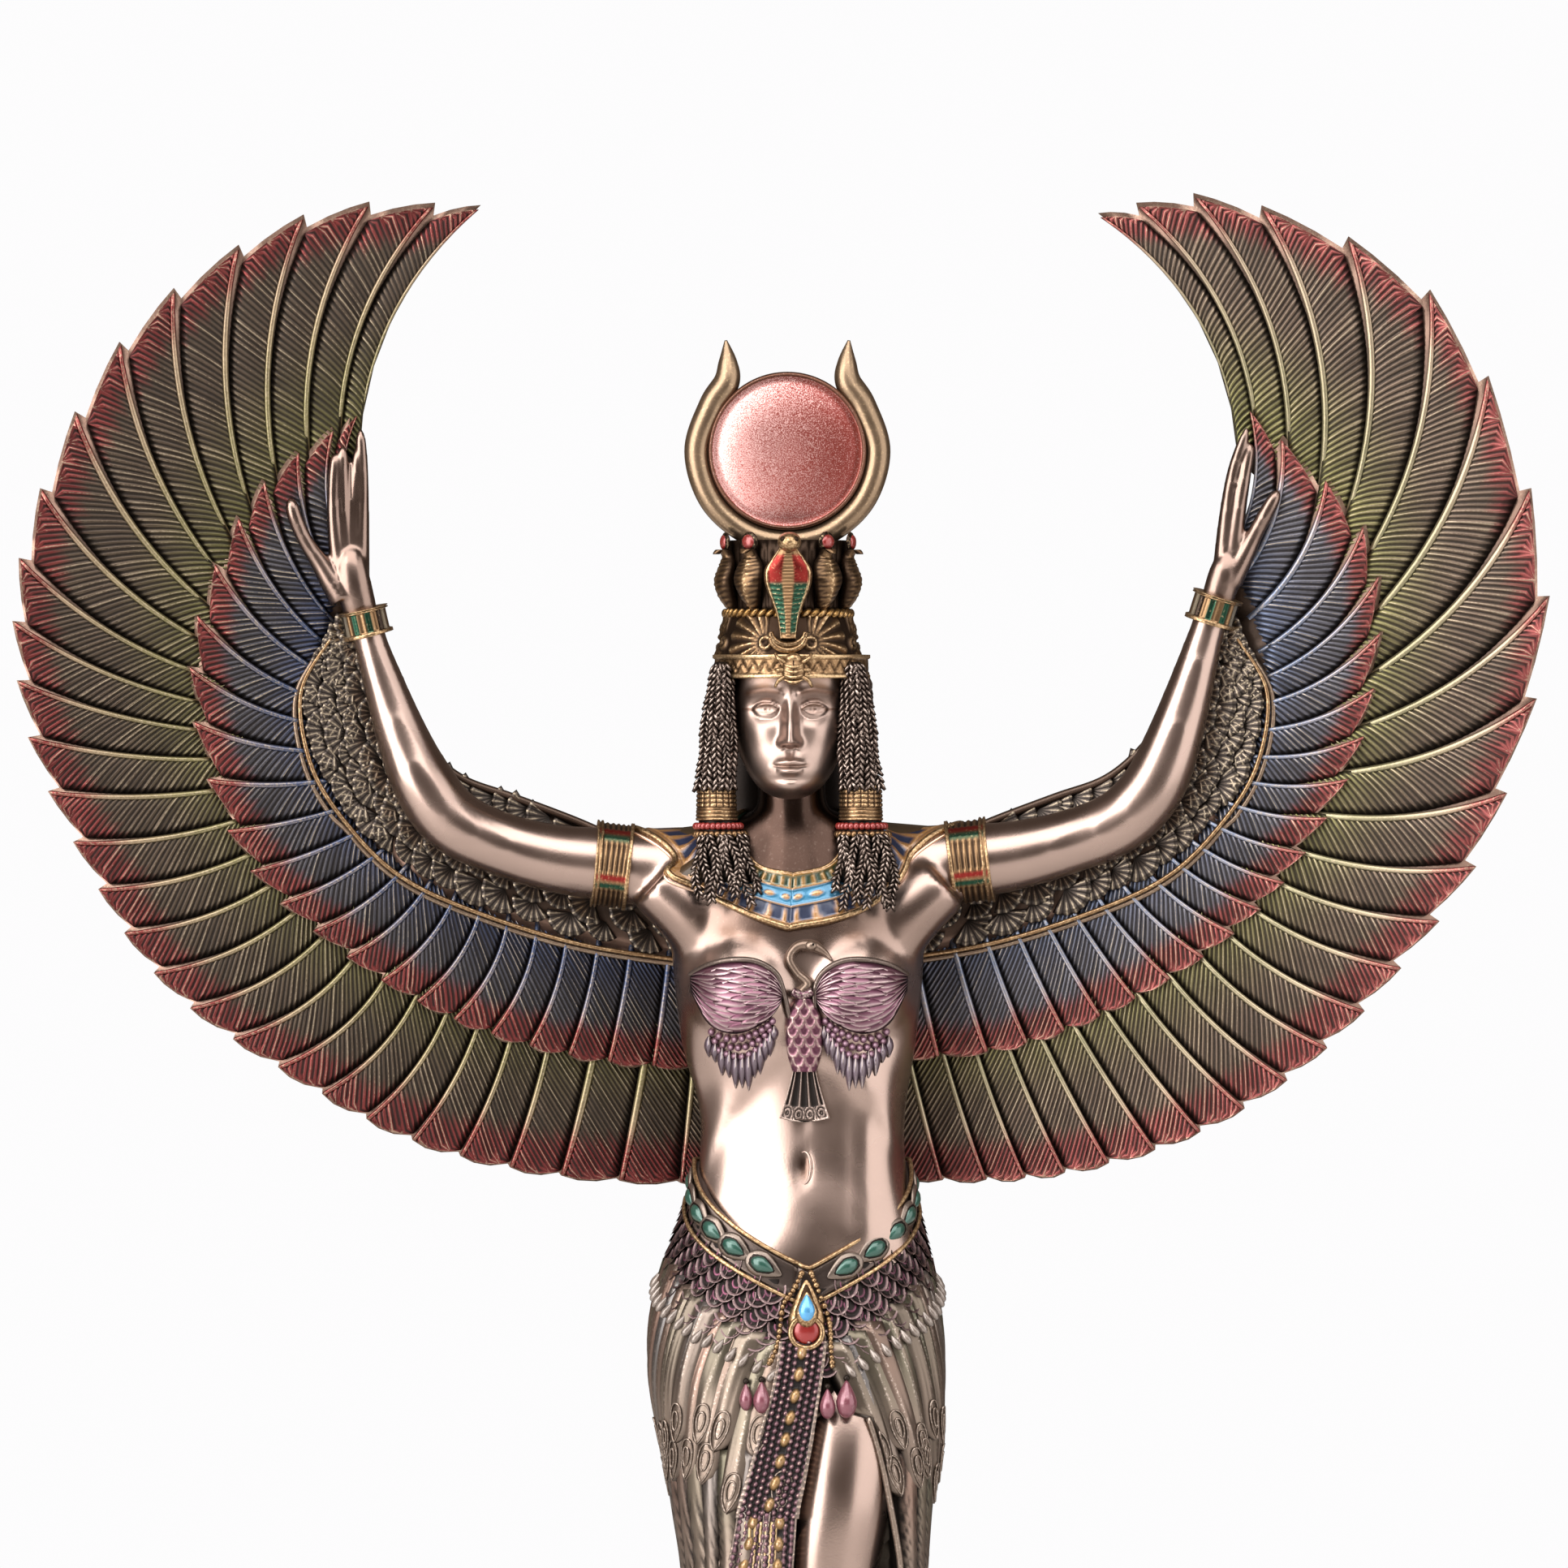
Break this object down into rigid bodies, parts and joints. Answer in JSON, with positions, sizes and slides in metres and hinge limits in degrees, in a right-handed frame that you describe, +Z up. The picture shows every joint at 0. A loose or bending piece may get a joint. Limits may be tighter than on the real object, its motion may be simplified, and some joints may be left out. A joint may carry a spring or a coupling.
{
  "type": "statue",
  "caption": "Standing winged goddess statuette with raised arms, feathered wings, horned sun-disc crown and a low oblong base.",
  "frame": {"origin": "middle of the base's flat underside", "axes": "+Z up, the figure faces -Y, +X to the viewer's right"},
  "size_m": [0.2265, 0.078, 0.3063],
  "materials": {
    "bronze": "polished cold-cast bronze, buffed to a warm brown",
    "wing_paint": "dark bronze with olive, blue and red washes, dry-brushed",
    "gold": "aged gold paint over bronze",
    "enamel": "gloss red, green, blue and purple colour laid into the casting",
    "hair": "dark bronze, dry-brushed on the braids",
    "dress": "bronze with green and purple washes"
  },
  "bodies": {
    "root": {"isis_statue": "bronze"}
  },
  "joints": []
}
